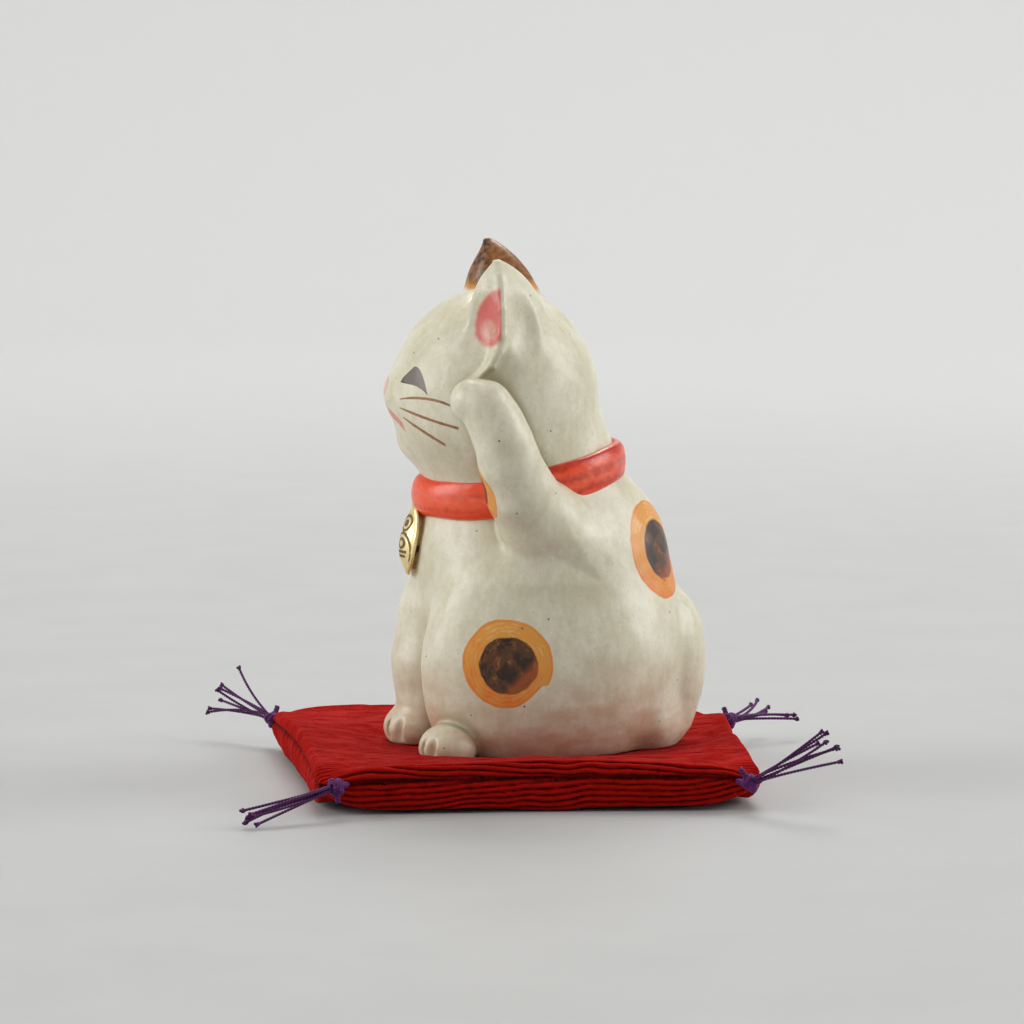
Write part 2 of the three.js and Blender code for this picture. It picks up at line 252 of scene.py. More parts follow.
def field_mesh(field, low, high, step):
    """Vertices and quads of a distance field's surface, in millimetres, pulled onto the exact surface."""
    block = 8
    limit = 4 * step
    low = np.asarray(low, np.float32) - 3 * step
    blocks = np.ceil((np.asarray(high) + 3 * step - low) / (block * step)).astype(int)
    starts = np.stack(np.meshgrid(*[np.arange(n) * block for n in blocks], indexing="ij"), axis=-1)
    starts = starts.reshape(-1, 3)
    centres = (low + step * (starts + (block - 1) / 2)).astype(np.float32)
    rough = field(centres)
    near = np.abs(rough) < 1.3 * block * step + limit
    values = np.repeat(np.sign(rough) * limit, block**3).reshape(-1, block, block, block)
    cell = np.stack(np.meshgrid(*[np.arange(block)] * 3, indexing="ij"), axis=-1)
    fine = (low + step * (starts[near][:, None, None, None] + cell)).astype(np.float32)
    values[near] = np.clip(field(fine), -limit, limit)
    values = values.reshape(*blocks, block, block, block).transpose(0, 3, 1, 4, 2, 5)
    values = values.reshape(*(blocks * block))
    grid = openvdb.FloatGrid(limit)
    grid.copyFromArray(np.ascontiguousarray(values, np.float32))
    places, quads = grid.convertToQuads(isovalue=0.0)
    vertices = (low + step * np.asarray(places, np.float32)).astype(np.float32)
    for _ in range(2):
        gradient = slope_of(field, vertices)
        distance = field(vertices)
        vertices -= gradient * (distance / np.maximum((gradient**2).sum(axis=1), 0.2))[:, None]
    return vertices, np.asarray(quads)


def slope_of(field, points, step=0.05):
    offsets = np.eye(3, dtype=np.float32) * step
    parts = [(field(points + offset) - field(points - offset)) / (2 * step) for offset in offsets]
    return np.stack(parts, axis=1)


def unit(vectors):
    return vectors / np.maximum(np.linalg.norm(vectors, axis=-1, keepdims=True), 1e-9)


def add_object(name, data):
    made = bpy.data.objects.new(name, data)
    bpy.context.scene.collection.objects.link(made)
    return made


def make_object(name, vertices, faces, material, **stored):
    """A smooth-shaded mesh object from places in millimetres, with numbers stored on its points."""
    mesh = bpy.data.meshes.new(name)
    mesh.from_pydata((np.asarray(vertices, np.float64) * MM).tolist(), [], [list(face) for face in faces])
    for key, values in stored.items():
        values = np.asarray(values, np.float32)
        kind, field = ("FLOAT_VECTOR", "vector") if values.ndim == 2 else ("FLOAT", "value")
        mesh.attributes.new(key, kind, "POINT").data.foreach_set(field, values.ravel())
    mesh.shade_smooth()
    mesh.materials.append(material)
    return add_object(name, mesh)


def sheet_faces(rows, columns, wrap=False):
    """Quads of a grid of points stored row by row; wrap joins the last column to the first."""
    wide = columns if wrap else columns - 1
    row, column = np.meshgrid(np.arange(rows - 1), np.arange(wide), indexing="ij")
    after = (column + 1) % columns
    near, far = row * columns, (row + 1) * columns
    return np.stack([near + column, near + after, far + after, far + column], axis=-1).reshape(-1, 4)


# ---------------------------------------------------------------- materials


def ink(red, green, blue):
    """A display colour, 0 to 255, as a linear RGBA colour."""
    linear = [c / 255 / 12.92 if c <= 10 else ((c / 255 + 0.055) / 1.055) ** 2.4 for c in (red, green, blue)]
    return (*linear, 1)


class Value:
    """A number that varies over a surface: shader nodes written as plain arithmetic."""

    def __init__(self, tree, socket):
        self.tree, self.socket = tree, socket

    def of(self, operation, *others):
        node = self.tree.nodes.new("ShaderNodeMath")
        node.operation = operation
        for slot, value in zip(node.inputs, (self, *others)):
            if isinstance(value, Value):
                self.tree.links.new(value.socket, slot)
            else:
                slot.default_value = value
        return Value(self.tree, node.outputs[0])

    def __add__(self, other):
        return self.of("ADD", other)

    def __sub__(self, other):
        return self.of("SUBTRACT", other)

    def __mul__(self, other):
        return self.of("MULTIPLY", other)

    def __truediv__(self, other):
        return self.of("DIVIDE", other)

    __radd__ = __add__
    __rmul__ = __mul__

    def __rsub__(self, other):
        return self * -1.0 + other

    def squared(self):
        return self.of("MULTIPLY", self)

    def size(self):
        return self.of("ABSOLUTE")

    def least(self, other):
        return self.of("MINIMUM", other)

    def most(self, other):
        return self.of("MAXIMUM", other)

    def step(self, start, end):
        """0 at start, 1 at end, soft in between."""
        node = self.tree.nodes.new("ShaderNodeMapRange")
        node.interpolation_type = "SMOOTHSTEP"
        self.tree.links.new(self.socket, node.inputs["Value"])
        node.inputs["From Min"].default_value = start
        node.inputs["From Max"].default_value = end
        return Value(self.tree, node.outputs["Result"])


class Finish:
    """A procedural material under construction, with places in millimetres."""

    def __init__(self, name, **shader):
        self.material = bpy.data.materials.new(name)
        self.material.use_nodes = True
        self.tree = self.material.node_tree
        self.shader = self.tree.nodes["Principled BSDF"]
        for key, value in shader.items():
            self.shader.inputs[key.replace("_", " ")].default_value = value
        place = self.tree.nodes.new("ShaderNodeTexCoord").outputs["Object"]
        scaled = self.tree.nodes.new("ShaderNodeVectorMath")
        scaled.operation = "SCALE"
        scaled.inputs["Scale"].default_value = 1 / MM
        self.tree.links.new(place, scaled.inputs[0])
        self.place = scaled.outputs[0]
        self.x, self.y, self.z = self.parts(self.place)

    def parts(self, vector):
        node = self.tree.nodes.new("ShaderNodeSeparateXYZ")
        self.tree.links.new(vector, node.inputs[0])
        return [Value(self.tree, out) for out in node.outputs]

    def stored(self, name):
        node = self.tree.nodes.new("ShaderNodeAttribute")
        node.attribute_name = name
        return node

    def stretched(self, vector, stretch):
        node = self.tree.nodes.new("ShaderNodeVectorMath")
        node.operation = "MULTIPLY"
        node.inputs[1].default_value = stretch
        self.tree.links.new(vector, node.inputs[0])
        return node.outputs[0]

    def noise(self, size, detail=2.0, stretch=(1, 1, 1), vector=None):
        """Smooth noise from about -1 to 1, its lumps about size mm across."""
        node = self.tree.nodes.new("ShaderNodeTexNoise")
        node.inputs["Scale"].default_value = 1 / size
        node.inputs["Detail"].default_value = detail
        self.tree.links.new(self.stretched(vector or self.place, stretch), node.inputs["Vector"])
        return (Value(self.tree, node.outputs["Fac"]) - 0.5) * 3

    def cells(self, size, feature="F1"):
        node = self.tree.nodes.new("ShaderNodeTexVoronoi")
        node.feature = feature
        node.inputs["Scale"].default_value = 1 / size
        self.tree.links.new(self.place, node.inputs["Vector"])
        distance = Value(self.tree, node.outputs["Distance"]) * size
        return distance, node.outputs.get("Color")

    def oval(self, centre, radii, x=None, y=None, z=None):
        """1 on an ellipsoid's surface, less inside it."""
        total = None
        for value, origin, radius in zip((x or self.x, y or self.y, z or self.z), centre, radii):
            if radius:
                part = ((value - origin) / radius).squared()
                total = part if total is None else total + part
        return total.of("SQRT")

    def mix(self, under, over, amount):
        node = self.tree.nodes.new("ShaderNodeMix")
        node.data_type = "RGBA"
        for slot, value in ((node.inputs[6], under), (node.inputs[7], over)):
            if isinstance(value, tuple):
                slot.default_value = value
            else:
                self.tree.links.new(value, slot)
        self.tree.links.new(amount.socket, node.inputs[0])
        return node.outputs[2]

    def set(self, name, value):
        socket = value.socket if isinstance(value, Value) else value
        self.tree.links.new(socket, self.shader.inputs[name])

    def bump(self, height, strength=1.0):
        """Height in millimetres."""
        node = self.tree.nodes.new("ShaderNodeBump")
        node.inputs["Strength"].default_value = strength
        node.inputs["Distance"].default_value = MM
        self.tree.links.new(height.socket, node.inputs["Height"])
        self.tree.links.new(node.outputs["Normal"], self.shader.inputs["Normal"])


CREAM = ink(202, 195, 166)
PALE = ink(226, 222, 201)
OLIVE = ink(166, 157, 124)
BUFF = ink(190, 148, 116)
AMBER = ink(222, 152, 62)
DEEP_AMBER = ink(222, 104, 12)
BROWN = ink(84, 48, 16)
DARK = ink(34, 17, 8)
SLATE = ink(112, 100, 94)
PINK = ink(206, 92, 84)
CORAL = ink(214, 110, 92)


def spot(finish, colour, centre, ring, heart, heart_centre, side, flat=False):
    """An amber spot with a brown heart, painted in circling strokes; a flat one ignores x."""
    level = finish.oval(centre, (0 if flat else ring, ring, ring))
    low, after = centre[2] - finish.z, finish.y - centre[1]
    level = level + finish.noise(6.0, 1) * 0.035 + finish.noise(1.5) * 0.008
    level = level + low.step(4.2, 4.5) * after.step(0, 6) * 0.1
    strokes = (level * 74 + finish.noise(3.5) * 5 + finish.noise(0.9, 3) * 1.6).of("SINE") * 0.5 + 0.5
    depth = strokes * 0.3 + finish.noise(3.2, 3) * 0.5 + low * 0.035
    amber = finish.mix(AMBER, DEEP_AMBER, depth.step(-0.05, 0.9))
    pale = (finish.noise(2.4, 3) - strokes * 0.6 - low * 0.04).step(0.0, 0.9)
    amber = finish.mix(amber, ink(232, 190, 124), pale * 0.7)
    amber = finish.mix(amber, DEEP_AMBER, level.step(0.93, 1.0) * 0.6)
    core = finish.oval(heart_centre, (0 if flat else heart, heart, heart))
    core = core + finish.noise(3.0, 2) * 0.06
    patches = finish.noise(2.2, 3)
    brown = finish.mix(BROWN, ink(146, 92, 46), (patches + strokes * 0.3 - core * 0.3).step(-0.1, 0.6) * 0.8)
    brown = finish.mix(brown, DARK, (finish.noise(3.0, 3) + strokes * 0.15).step(0.02, 0.3) * 0.9)
    reddish = (low + after - 3.2 + finish.noise(2.0) * 0.6).step(0.0, 3.5)
    brown = finish.mix(brown, ink(196, 92, 18), reddish * 0.5)
    painted = finish.mix(amber, brown, core.step(1.03, 0.97))
    return finish.mix(colour, painted, level.step(1.015, 0.985) * side)


def glaze_material():
    """Crackled cream glaze with its painted marks and painted shade in its crevices."""
    finish = Finish("cream_glaze", Specular_IOR_Level=0.42, Coat_Weight=0.12, Coat_Roughness=0.22)
    crevice = Value(finish.tree, finish.stored("crevice").outputs["Fac"])
    streaks = finish.noise(2.0, 3, (1.2, 1.2, 0.5))
    clouds = finish.noise(9.0, 2)
    mottle = finish.noise(1.1, 3)
    colour = finish.mix(CREAM, PALE, (clouds * 0.5 + streaks * 0.28 + mottle * 0.25).step(-0.6, 0.7))
    colour = finish.mix(colour, OLIVE, (finish.noise(5.0, 3) * 0.5 + mottle * 0.3).step(0.15, 0.85) * 0.38)
    # painted shade: the glaze turns darker olive in the crevices, where the figure closes in round each point
    colour = finish.mix(colour, ink(150, 138, 100), crevice.step(0.12, 0.8) * 0.75)
    low = (finish.z + clouds * 3).step(31, 10)
    banks = finish.noise(6.0, 3, (0.7, 0.7, 1.8)) + finish.noise(1.5, 3) * 0.15
    colour = finish.mix(colour, BUFF, low * (banks.step(-0.5, 0.7) * 0.6 + 0.12))
    grime = finish.cells(0.9)[0] + finish.noise(0.8) * 0.12
    colour = finish.mix(colour, BUFF, grime.step(0.17, 0.08) * 0.4)

    c, s = math.cos(HEAD_ROLL), math.sin(HEAD_ROLL)
    across = finish.x * c - (finish.z - float(HEAD[2])) * s
    height = finish.x * s + (finish.z - float(HEAD[2])) * c + float(HEAD[2])
    half = across.size()
    on_head = finish.z.step(66, 67)

    # eyes: filled arches with a browner inner corner
    along = half * 0.81 + finish.y * 0.58
    rise = 83.3 + (along + 8.44) * 0.82
    arch = 86.75 - (along + 3.8).squared() * 0.2
    sag = 83.0 - (along + 3.5).most(0.0).squared() * 0.065
    inside = (rise.least(arch) - height).least(height - sag) + finish.noise(0.7) * 0.06
    eye = inside.step(-0.02, 0.1) * finish.y.step(-17, -18) * half.step(5.5, 6.5)
    iris = finish.mix(SLATE, BROWN, along.step(-6.2, -7.6) * 0.7 + finish.noise(0.5, 3).step(0.2, 0.9) * 0.25)
    iris = finish.mix(iris, DARK, inside.step(0.35, 0.1) * along.step(-4.5, -6.0) * 0.85)
    colour = finish.mix(colour, iris, eye)

    # three whiskers on each cheek
    whiskers = (
        (80.85, -20.3, 0.0, 0.044, -25.6, -15.8, 0.34),
        (77.0, -21.3, -0.215, 0.0, -25.6, -14.2, 0.36),
        (74.1, -21.3, -0.54, 0.0, -25.0, -16.6, 0.36),
    )
    for top, crest, slope, bend, start, stop, width in whiskers:
        away = finish.y - crest
        line = top + away * slope - away.squared() * bend
        off = (height - line).size() / math.hypot(1, slope) + finish.noise(1.2) * 0.05
        taper = finish.y.step(start - 0.4, start + 3) * 0.6 + 0.4
        ends = finish.y.step(start, start + 0.4) * finish.y.step(stop, stop - 0.4)
        cheek = ends * half.step(5, 6) * half.step(21.4, 20.8) * on_head
        stroke = (off / taper).step(width, width - 0.14) * cheek
        tone = finish.mix(ink(150, 92, 34), ink(110, 60, 22), finish.noise(1.5).step(-0.2, 0.6))
        colour = finish.mix(colour, tone, stroke * 0.9)

    # nose and mouth
    nose = finish.oval((0, -28.2, 81.3), (3.3, 2.6, 2.1), across, None, height) + finish.noise(1.5) * 0.08
    colour = finish.mix(colour, ink(222, 176, 158), nose.step(1.1, 0.8) * 0.9)
    colour = finish.mix(colour, PINK, nose.step(0.75, 1.0) * nose.step(1.15, 1.0) * 0.45)
    smile = (height - (76.35 - half.squared() * 0.042)).size() + finish.noise(1.2) * 0.1
    mouth = smile.step(1.15, 0.75) * half.step(8.4, 7.6) * finish.y.step(-23, -24)
    colour = finish.mix(colour, CORAL, mouth * (finish.noise(1.0).step(-0.8, 0.4) * 0.4 + 0.5))

    # the left ear's pink lining, brushed thin in its lower middle
    slanted = height - (finish.y + 6.3) * 0.48
    lining = finish.oval((18.0, -6.3, 98.0), (9.0, 5.1, 6.1), across, None, slanted)
    pink = (lining + finish.noise(1.8, 3) * 0.06).step(1.04, 0.84) * finish.y.step(-5.9, -6.5)
    thin = finish.oval((18.5, -8.0, 94.9), (6.0, 2.2, 2.6), across, None, height)
    pink = pink * (0.95 - thin.step(1.1, 0.4) * (finish.noise(0.7, 2) * 0.25 + 0.35))
    colour = finish.mix(colour, PINK, pink)

    # the right ear, brown with dark mottling in front and streaks behind
    ear_height = finish.z + finish.noise(2.0) * 0.35
    right_ear = ear_height.step(99.7, 100.5) * finish.x.step(-1, -2)
    streaking = finish.noise(1.3, 3, (1.4, 0.8, 0.8)).step(-0.5, 0.5)
    streaked = finish.mix(ink(158, 102, 46), ink(108, 64, 28), streaking)
    mottled = finish.mix(ink(136, 84, 30), DARK, finish.noise(1.2, 4).step(-0.35, 0.45))
    brown = finish.mix(streaked, mottled, (finish.y + finish.noise(2.5) * 1.2).step(-5.0, -6.6))
    brown = finish.mix(brown, AMBER, ear_height.step(102.4, 100.2) * 0.75)
    colour = finish.mix(colour, brown, right_ear)

    # amber spots on the haunch, the back and the raised arm
    near_side = finish.x.step(8, 9)
    colour = spot(finish, colour, (0, -5.0, 27.3), 8.9, 5.75, (0, -5.0, 26.9), near_side, flat=True)
    colour = spot(finish, colour, (8.5, 27, 48), 10.4, 6.2, (8.5, 27, 48), finish.z.step(30, 31))
    colour = spot(finish, colour, (23, -11.6, 61.0), 6.8, 5.0, (23.2, -12.8, 62.2), finish.x.step(18.5, 19.5))

    # iron specks in the clay
    speck, tint = finish.cells(3.4)
    lucky = Value(finish.tree, finish.parts(tint)[0].socket).step(0.60, 0.62)
    specks = (speck + finish.noise(0.6) * 0.03).step(0.28, 0.14) * lucky * 0.85
    colour = finish.mix(colour, ink(72, 58, 48), specks)
    finish.set("Base Color", colour)
    dulled = finish.noise(3.0, 3) * 0.06 + mottle * 0.03
    finish.set("Roughness", 0.36 + dulled + crevice.step(0.3, 1) * 0.15)
    pits = finish.cells(1.7)[0].step(0.0, 0.22) * 0.03
    crackle = finish.cells(1.4, "DISTANCE_TO_EDGE")[0].step(0.0, 0.05) * 0.004
    finish.bump(finish.noise(2.6, 3, (1, 1, 0.5)) * 0.045 + mottle * 0.018 + pits + crackle, 0.7)
    return finish.material


def collar_material():
    """Red overglaze in long brush strokes, paler on the crest where the glaze is thin and as a painted
    highlight, and pale at the very edges.
    """
    finish = Finish("red_overglaze", Specular_IOR_Level=0.45, Coat_Weight=0.12, Coat_Roughness=0.2)
    rim = Value(finish.tree, finish.stored("rim").outputs["Fac"])
    turn = Value(finish.tree, finish.stored("turn").outputs["Fac"])
    strokes = (rim * 9 + finish.noise(3.0, 2) * 1.4).of("SINE") * 0.35 + finish.noise(1.4, 3) * 0.4
    colour = finish.mix(ink(236, 74, 26), ink(192, 34, 4), (strokes + turn.of("SINE") * 0.3).step(-0.3, 0.7))
    # thin glaze and painted highlight: a pale pink band brushed along the crest of the collar
    thin = (0.75 - rim.size() + finish.noise(2.5, 2) * 0.3).step(0.0, 0.7)
    brushed = (finish.noise(2.2, 3, (1, 1, 2.5)) * 0.4 + 0.4).step(0, 1)
    colour = finish.mix(colour, ink(240, 128, 92), thin * brushed * 0.75)
    edge = (rim.size() + finish.noise(1.6) * 0.03).step(0.93, 1.0)
    colour = finish.mix(colour, ink(232, 142, 110), edge * 0.7)
    finish.set("Base Color", colour)
    finish.set("Roughness", 0.3 + finish.noise(1.5, 3) * 0.05)
    finish.bump(finish.noise(1.8, 3) * 0.05, 0.7)
    return finish.material


def coin_material():
    """Gold lustre with plain painted rings and strokes, no lettering."""
    finish = Finish("gold_lustre", Metallic=0.7, Specular_IOR_Level=0.5)
    centre = middle("koban_medallion")
    across, up = finish.x - float(centre[0] + 1.7), finish.z - float(centre[2])
    grain = finish.noise(0.9, 3)
    worn = (finish.noise(2.5, 3) * 0.6 + grain * 0.3).step(-0.3, 0.8)
    colour = finish.mix(ink(246, 226, 166), ink(216, 172, 92), worn)

    def ring(shift, wide, tall, width):
        level = finish.oval((0, 0, shift), (wide, 0, tall), across, None, up)
        return ((level - 1).size() * min(wide, tall) + finish.noise(0.8) * 0.06).step(width, width - 0.12)

    marks = ring(3.4, 1.7, 1.5, 0.34).most(ring(3.4, 0.5, 0.4, 0.4))
    marks = marks.most(ring(-2.0, 2.9, 3.4, 0.3) * up.step(-4.6, -4.0))
    marks = marks.most(ring(-0.7, 1.3, 0.9, 0.36))
    for level, reach in ((-2.4, 2.1), (-3.3, 1.6)):
        bar = ((up - level).size() + finish.noise(0.8) * 0.08).step(0.36, 0.24)
        marks = marks.most(bar * across.size().step(reach, reach - 0.3))
    marks = marks * finish.y.step(-20.8, -21.2)
    colour = finish.mix(colour, ink(58, 38, 22), marks * (finish.noise(0.5, 2) * 0.1 + 0.85))
    finish.set("Base Color", colour)
    finish.set("Roughness", 0.3 + grain * 0.08 + marks * 0.35)
    finish.bump(grain * 0.02 + marks * 0.03, 0.6)
    return finish.material


def crepe_material():
    """Red crepe: painted shade deep in its furrows and along its seams, painted light on its ridges and
    puckers, with the yarns of its weave.
    """
    finish = Finish(
        "red_crepe", Roughness=0.95, Specular_IOR_Level=0.04, Sheen_Weight=0.03, Sheen_Roughness=0.5
    )
    relief = Value(finish.tree, finish.stored("relief").outputs["Fac"])
    cloth = finish.stored("cloth").outputs["Vector"]
    along, across, _ = finish.parts(cloth)
    puckers = finish.noise(0.8, 2, (1, 0.36, 1), cloth)
    # painted shade and light: the red darkens deep in the furrows and along the seams, and brightens on the
    # ridges and puckers
    depth = relief * 0.85 + puckers * 0.28 + finish.noise(1.6, 3) * 0.1
    colour = finish.mix(ink(52, 2, 1), ink(170, 17, 9), depth.step(0.0, 0.9))
    colour = finish.mix(colour, ink(198, 38, 24), finish.noise(0.7, 4).step(0.1, 1.1) * 0.45)
    colour = finish.mix(colour, ink(140, 10, 6), finish.noise(7.0, 2).step(-0.1, 0.9) * 0.35)
    wander = finish.noise(2.0, 2) * 0.8
    yarn = (across * (2 * math.pi / 0.52) + wander).of("SINE") * 0.5 + 0.5
    pick = (along * (2 * math.pi / 0.42) + wander).of("SINE") * 0.5 + 0.5
    colour = finish.mix(colour, ink(74, 2, 2), yarn.step(0.55, 0.0) * 0.22)
    finish.set("Base Color", colour)
    finish.bump(puckers * 0.13 + yarn * 0.03 + pick * 0.02 + finish.noise(0.5, 3) * 0.03, 0.8)
    return finish.material


def cord_material():
    """Purple twisted silk: fine fibres along each ply, with painted shade in the grooves between the plies
    and painted highlight on their outer faces.
    """
    finish = Finish(
        "purple_silk", Roughness=0.6, Specular_IOR_Level=0.25, Sheen_Weight=0.08, Sheen_Roughness=0.4
    )
    groove = Value(finish.tree, finish.stored("groove").outputs["Fac"])
    fibres = finish.noise(0.25, 3)
    # painted shade and highlight: dark in the grooves between the plies, lighter on their outer faces
    colour = finish.mix(ink(24, 3, 26), ink(86, 26, 92), (groove + fibres * 0.2).step(0.35, 1.0))
    colour = finish.mix(colour, ink(116, 50, 124), finish.noise(1.4, 2).step(0.2, 1.2) * groove * 0.5)
    finish.set("Base Color", colour)
    finish.bump(fibres * 0.03, 0.5)
    return finish.material


def floor_material():
    finish = Finish("floor_paper", Specular_IOR_Level=0.12)
    # painted shade: the floor is darker round the set and grows paler from 0.3 m to 1.3 m out, standing in
    # for the shadow there
    near = finish.mix(ink(178, 178, 177), ink(182, 182, 181), finish.noise(30, 3).step(-1, 1))
    far = finish.oval((0, 0, 0), (1000, 1000, 0)).step(0.3, 1.3)
    finish.set("Base Color", finish.mix(near, ink(196, 196, 195), far))
    finish.set("Roughness", 0.5 + finish.noise(12, 3) * 0.02)
    return finish.material


# ---------------------------------------------------------------- figure


def make_figure():
    low, high = box_of(*FIGURE_NODES)
    vertices, quads = field_mesh(cat, low - 1, high + 1.5, 0.5)
    outward = unit(slope_of(cat, vertices))
    # how closely the figure closes in round each point, stored as crevice to paint shade into the glaze's
    # crevices
    opening = (cat(vertices + 2 * outward) / 2 + cat(vertices + 5 * outward) / 5) / 2
    waves = [0.2 * noise.noise(Vector(v) / 8) + 0.07 * noise.noise(Vector(v) / 3) for v in vertices]
    flat = np.clip((vertices[:, 2] - SEAT) / 2, 0, 1)
    vertices = vertices + outward * (np.array(waves) * flat)[:, None]
    crevice = np.clip(1 - opening, 0, 1)
    figure = make_object("glazed_figure", vertices, quads, glaze_material(), crevice=crevice)
    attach(figure, "figurine")
    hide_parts(*FIGURE_NODES)


def make_collar():
    """A rounded band that hugs the neck, sagging at each side."""
    turns, around = 220, 26
    turn = np.linspace(0, 2 * math.pi, turns, endpoint=False)
    ray = np.stack([np.cos(turn), np.sin(turn), np.zeros(turns)], axis=1)
    side = np.arctan2(ray[:, 1], np.abs(ray[:, 0]))
    sag = 1.6 * np.cos(side + math.radians(12)) ** 2
    axis_y, level, lean, half_height = -0.7, 62.3, 0.17, 4.2

    def spine_at(reach):
        y = axis_y + reach * ray[:, 1]
        return np.stack([reach * ray[:, 0], y, level + lean * y - sag], axis=1)

    reach = np.full(turns, 19.5)
    for _ in range(12):
        reach = reach - body(spine_at(reach))
    spread = np.array([math.exp(-((k / 6) ** 2)) for k in range(-18, 19)])
    reach = np.convolve(np.tile(reach, 3), spread / spread.sum(), "same")[turns : 2 * turns]
    spine = spine_at(reach)
    angle = np.linspace(-math.pi / 2, math.pi / 2, around)
    rim, proud = np.sin(angle), 1.9 * np.cos(angle) ** 0.75 - 0.1
    rim = np.concatenate([[-0.8], rim, [0.8]])
    proud = np.concatenate([[-2.0], proud, [-2.0]])
    uneven = 1 + 0.035 * np.sin(3 * turn + 1) + 0.025 * np.sin(7 * turn)
    fuller = 1 + 0.75 * np.maximum(-ray[:, 1], 0) ** 4
    outward = ray[:, None] * (fuller[:, None] * proud)[..., None]
    vertices = spine[:, None] + outward + [0, 0, half_height] * (uneven[:, None] * rim)[..., None]
    faces = sheet_faces(turns + 1, around + 2, wrap=True) % (turns * (around + 2))
    collar = make_object(
        "collar",
        vertices.reshape(-1, 3),
        faces[:, ::-1],
        collar_material(),
        rim=np.tile(rim, turns),
        turn=np.repeat(turn, around + 2),
    )
    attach(collar, "figurine")
    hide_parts("collar_band")


def make_coin():
    """An oval coin, domed with the chest behind it."""
    rings, around = 26, 72
    share = np.linspace(0, 1, rings)[1:]
    turn = np.linspace(0, 2 * math.pi, around, endpoint=False)
    centre = middle("koban_medallion")
    half_wide, half_tall = 5.6, 7.5
    reach_across, reach_up = 5.2, 6.5

    def disc(share, back):
        x = half_wide * share * np.cos(turn)
        z = half_tall * share * np.sin(turn)
        dome = 2.1 * (1 - share**2.4) + 0.3 * math.exp(-(((share - 0.93) / 0.04) ** 2))
        y = chest(x + centre[0], z + centre[2]) - 0.5 - dome + back
        return np.stack([x + centre[0], y, z + centre[2]], axis=1)

    def chest(x, z):
        """How far forward the figure reaches behind the coin, as a smooth bowed sheet."""
        ends = [[centre[0], -30, centre[2] + up] for up in (-reach_up, 0, reach_up)]
        ends = np.array(ends + [[centre[0] + reach_across, -30, centre[2]]])
        for _ in range(40):
            ends[:, 1] += body(ends)
        slope = (ends[2, 1] - ends[0, 1]) / (2 * reach_up)
        bow = (ends[0, 1] + ends[2, 1]) / 2 - ends[1, 1]
        curl = ends[3, 1] - ends[1, 1]
        across, up = x - centre[0], z - centre[2]
        tilt = -0.5 - 1.6 * np.clip((up - 1) / reach_up, 0, 1) ** 2
        bowed = bow * (up / reach_up) ** 2
        return ends[1, 1] + tilt + slope * up + bowed + curl * (across / reach_across) ** 2

    underside = ((0.98, 0.3), (0.86, 0.8), (0.8, 3.2))
    layers = [disc(value, 0) for value in share] + [disc(value, back) for value, back in underside]
    count = len(layers)
    vertices = np.concatenate(layers + [[disc(0.0, 0)[0]], [disc(0.0, 5.0)[0]]])
    faces = sheet_faces(count, around, wrap=True).tolist()
    last = (count - 1) * around
    for k in range(around):
        after = (k + 1) % around
        faces.append((count * around, after, k))
        faces.append((count * around + 1, last + k, last + after))
    coin = make_object("koban", vertices, [face[::-1] for face in faces], coin_material())
    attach(coin, "figurine")
    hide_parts("koban_medallion")


# ---------------------------------------------------------------- cushion

SEAM_HEIGHT = 6.2
CREST = 11.2
# from each knot to the corner of the cushion beside it
TIP_OFFSETS = {
    "front_left": (-0.8, -5.4),
    "back_left": (-0.8, 4.2),
    "front_right": (0.6, -2.6),
    "back_right": (1.5, 0.6),
}
PINCH = 5.5  # how far in from a corner the cushion is squeezed
WAIST = 1.2  # how far each side pulls in between its corners
RIDGE = 1.25  # from one crepe ridge to the next


def rumple(a, b, size_a, size_b, seed):
    """Smooth noise from -1 to 1 over two lengths."""
    table = np.random.RandomState(seed).uniform(-1, 1, (64, 64))
    a, b = a / size_a + 400.3, b / size_b + 400.7
    i, j = np.floor(a).astype(int), np.floor(b).astype(int)
    p, q = a - i, b - j
    p, q = p * p * (3 - 2 * p), q * q * (3 - 2 * q)

    def at(m, n):
        return table[(i + m) % 64, (j + n) % 64]

    return (at(0, 0) * (1 - p) + at(1, 0) * p) * (1 - q) + (at(0, 1) * (1 - p) + at(1, 1) * p) * q


def across_panel(count):
    """From seam to seam: place from -1 to 1, and height from 0 at the seams to 1 over the bulging edges."""
    wall, roll, tuck = 0.18, 0.035, math.radians(16)
    s = np.linspace(-1, 1, count)
    turn = math.pi / 2 - np.clip((np.abs(s) - (1 - wall)) / wall, 0, 1) * (math.pi / 2 + tuck)
    run = (1 - roll) * np.minimum(np.abs(s) / (1 - wall), 1) + roll * np.cos(turn)
    return np.sign(s) * run, (np.sin(turn) + math.sin(tuck)) / (1 + math.sin(tuck))


def cushion_tips():
    """The four sewn corners: the knots are tied on the near corners and tucked behind the far ones."""
    return {corner: middle(corner + "_tassel_knot")[:2] + TIP_OFFSETS[corner] for corner in CORNERS}


